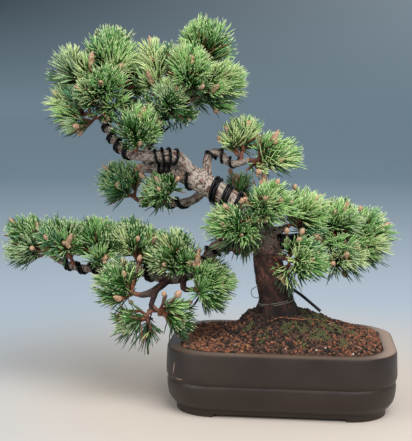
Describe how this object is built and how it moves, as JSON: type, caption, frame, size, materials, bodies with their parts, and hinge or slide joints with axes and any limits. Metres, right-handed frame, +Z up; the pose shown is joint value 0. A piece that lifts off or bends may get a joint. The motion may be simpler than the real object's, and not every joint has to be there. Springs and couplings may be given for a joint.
{
  "type": "wired pine bonsai in a pot",
  "caption": "Informal pine bonsai leaning over a rounded rectangular brown pot, with needle tufts in pads, a cut stub, dark training wire and a soil mound",
  "frame": {"origin": "middle of the pot's flat underside, on the ground", "axes": "+Z up; +X along the pot's long side, away from the long low bough; -Y is the side that the tree is shown from"},
  "size_m": [0.5374, 0.21, 0.5124],
  "materials": {
    "pot": "unglazed brown stoneware, satin",
    "soil": "damp red-brown granules",
    "bark": "rough scaly bark",
    "wire": "black anodised wire",
    "needles": "waxy green needles"
  },
  "bodies": {
    "root": {"pot": "pot", "soil": "soil", "trunk": "bark", "leader": "bark", "crown_right_bough": "bark", "right_branch": "bark", "mid_left_bough": "bark", "left_bough": "bark", "front_left_bough": "bark", "front_low_bough": "bark", "front_right_bough": "bark", "right_bough": "bark", "right_front_bough": "bark", "right_top_bough": "bark", "trunk_wire": "wire", "stub_wire": "wire", "leader_wire": "wire", "leader_tip_wire": "wire", "crown_right_wire": "wire", "right_branch_wire": "wire", "left_bough_wire": "wire", "left_outer_wire": "wire", "mid_left_wire": "wire", "right_bough_wire": "wire", "crown_peak": "needles", "crown_far_left": "needles", "crown_low_left": "needles", "crown_heart": "needles", "crown_back": "needles", "crown_front": "needles", "crown_fan": "needles", "crown_mid": "needles", "crown_middle_right": "needles", "crown_summit": "needles", "crown_right": "needles", "crown_right_back": "needles", "right_tip": "needles", "right_tip_top": "needles", "mid_left_tip": "needles", "mid_left": "needles", "left_tip": "needles", "left_outer": "needles", "left_middle": "needles", "left_inner": "needles", "left_heart": "needles", "left_low_back": "needles", "front_left": "needles", "front_low": "needles", "front_low_right": "needles", "front_right": "needles", "trunk_front": "needles", "trunk_top": "needles", "trunk_back": "needles", "right_high": "needles", "right_mid": "needles", "right_end": "needles", "right_under": "needles", "right_low": "needles", "right_back": "needles"}
  },
  "joints": []
}
